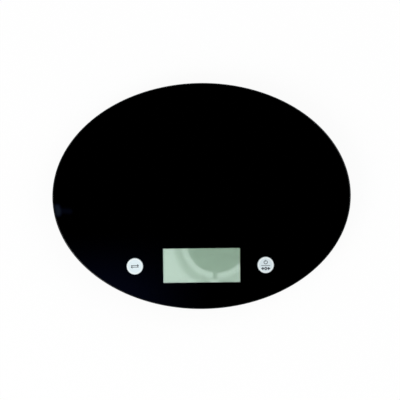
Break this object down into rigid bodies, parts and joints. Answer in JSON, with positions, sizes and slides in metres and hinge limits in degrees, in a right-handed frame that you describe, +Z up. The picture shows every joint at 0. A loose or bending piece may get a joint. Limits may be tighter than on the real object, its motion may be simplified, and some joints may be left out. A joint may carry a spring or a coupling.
{
  "type": "digital kitchen scale",
  "caption": "Oval black glass digital kitchen scale with a grey-green display window and two round push buttons, on four load-sensing feet.",
  "frame": {"origin": "on the table, under the middle of the oval glass", "axes": "+X to the right along the width, +Y to the back, +Z up; display and buttons at the front"},
  "size_m": [0.23, 0.1742, 0.0198],
  "materials": {
    "glass": "clear tempered glass, polished",
    "print": "black fired print",
    "foam": "closed-cell foam tape",
    "housing": "fine spark-eroded ABS",
    "cover": "fine spark-eroded ABS",
    "display": "grey-green liquid crystal panel",
    "frame": "white moulding",
    "contact_rubber": "layered silicone",
    "board": "solder-masked glass fibre",
    "resin": "black epoxy",
    "parts": "small chips and a crystal can",
    "button": "pale satin plastic",
    "switch": "black moulding with plated legs",
    "stem": "white nylon",
    "cell_steel": "spring steel",
    "silicone": "white silicone",
    "lead": "ribbon lead insulation",
    "battery": "nickel-plated can",
    "contact": "plated spring strip",
    "cap": "ABS",
    "foot": "ABS",
    "pad": "soft grey rubber",
    "screw": "zinc-plated"
  },
  "bodies": {
    "housing": {"glass_platform": "glass", "back_print": "print", "mounting_tape": "foam", "upper_housing": "housing", "bottom_cover": "cover", "lcd_panel": "display", "display_frame": "frame", "contact_strip": "contact_rubber", "circuit_board": "board", "main_chip": "resin", "board_parts": "parts", "unit_switch": "switch", "tare_switch": "switch", "gauge_seals": "silicone", "sensor_leads": "lead", "battery_leads": "lead", "battery_cell": "battery", "positive_contact": "contact", "negative_contact": "contact", "housing_screws": "screw", "board_screws": "screw", "load_cell_front_left": "cell_steel", "load_cell_front_right": "cell_steel", "load_cell_back_left": "cell_steel", "load_cell_back_right": "cell_steel"},
    "unit_key": {"unit_button": "button", "unit_switch_stem": "stem"},
    "tare_key": {"tare_button": "button", "tare_switch_stem": "stem"},
    "battery_lid": {"battery_cap": "cap"},
    "foot_front_left": {"foot_cup_front_left": "foot", "foot_pad_front_left": "pad"},
    "foot_front_right": {"foot_cup_front_right": "foot", "foot_pad_front_right": "pad"},
    "foot_back_left": {"foot_cup_back_left": "foot", "foot_pad_back_left": "pad"},
    "foot_back_right": {"foot_cup_back_right": "foot", "foot_pad_back_right": "pad"}
  },
  "joints": [
    {"name": "unit_press", "type": "slide", "parent": "housing", "child": "unit_key", "axis": [0, 0, -1], "range_m": [0, 0.0003], "stiffness_N_per_m": 5000},
    {"name": "tare_press", "type": "slide", "parent": "housing", "child": "tare_key", "axis": [0, 0, -1], "range_m": [0, 0.0003], "stiffness_N_per_m": 5000},
    {"name": "battery_lid_turn", "type": "hinge", "parent": "housing", "child": "battery_lid", "pos_m": [0, 0.008, 0.004], "axis": [0, 0, -1], "range_deg": [0, 50]},
    {"name": "foot_drop_front_left", "type": "slide", "parent": "housing", "child": "foot_front_left", "axis": [0, 0, -1], "range_m": [0, 0.0003]},
    {"name": "foot_drop_front_right", "type": "slide", "parent": "housing", "child": "foot_front_right", "axis": [0, 0, -1], "range_m": [0, 0.0003]},
    {"name": "foot_drop_back_left", "type": "slide", "parent": "housing", "child": "foot_back_left", "axis": [0, 0, -1], "range_m": [0, 0.0003]},
    {"name": "foot_drop_back_right", "type": "slide", "parent": "housing", "child": "foot_back_right", "axis": [0, 0, -1], "range_m": [0, 0.0003]}
  ]
}
